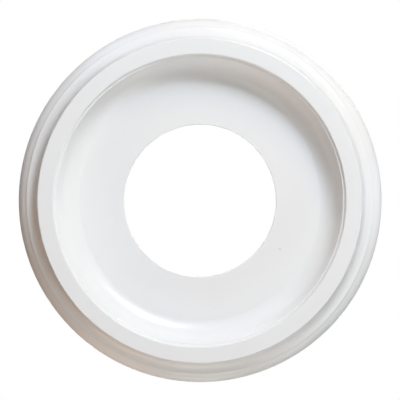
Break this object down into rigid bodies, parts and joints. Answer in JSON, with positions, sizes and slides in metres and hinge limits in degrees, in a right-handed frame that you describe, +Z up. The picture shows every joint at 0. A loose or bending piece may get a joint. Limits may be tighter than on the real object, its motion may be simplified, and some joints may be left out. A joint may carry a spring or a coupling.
{
  "type": "ceiling rose",
  "caption": "Round moulded plastic ceiling rose with a stepped, rounded border, a raised flat band and a dished centre plate with a round hole for a light or fan.",
  "frame": {"origin": "middle of the centre hole, on the ceiling plane that the flat back is fixed to", "axes": "+Z up, out of the back into the ceiling; the show face looks down along -Z; the rose is round about Z"},
  "size_m": [0.2476, 0.2476, 0.023],
  "materials": {
    "white_plastic": "moulded white plastic with a soft gloss"
  },
  "bodies": {
    "root": {"rose_moulding": "white_plastic"}
  },
  "joints": []
}
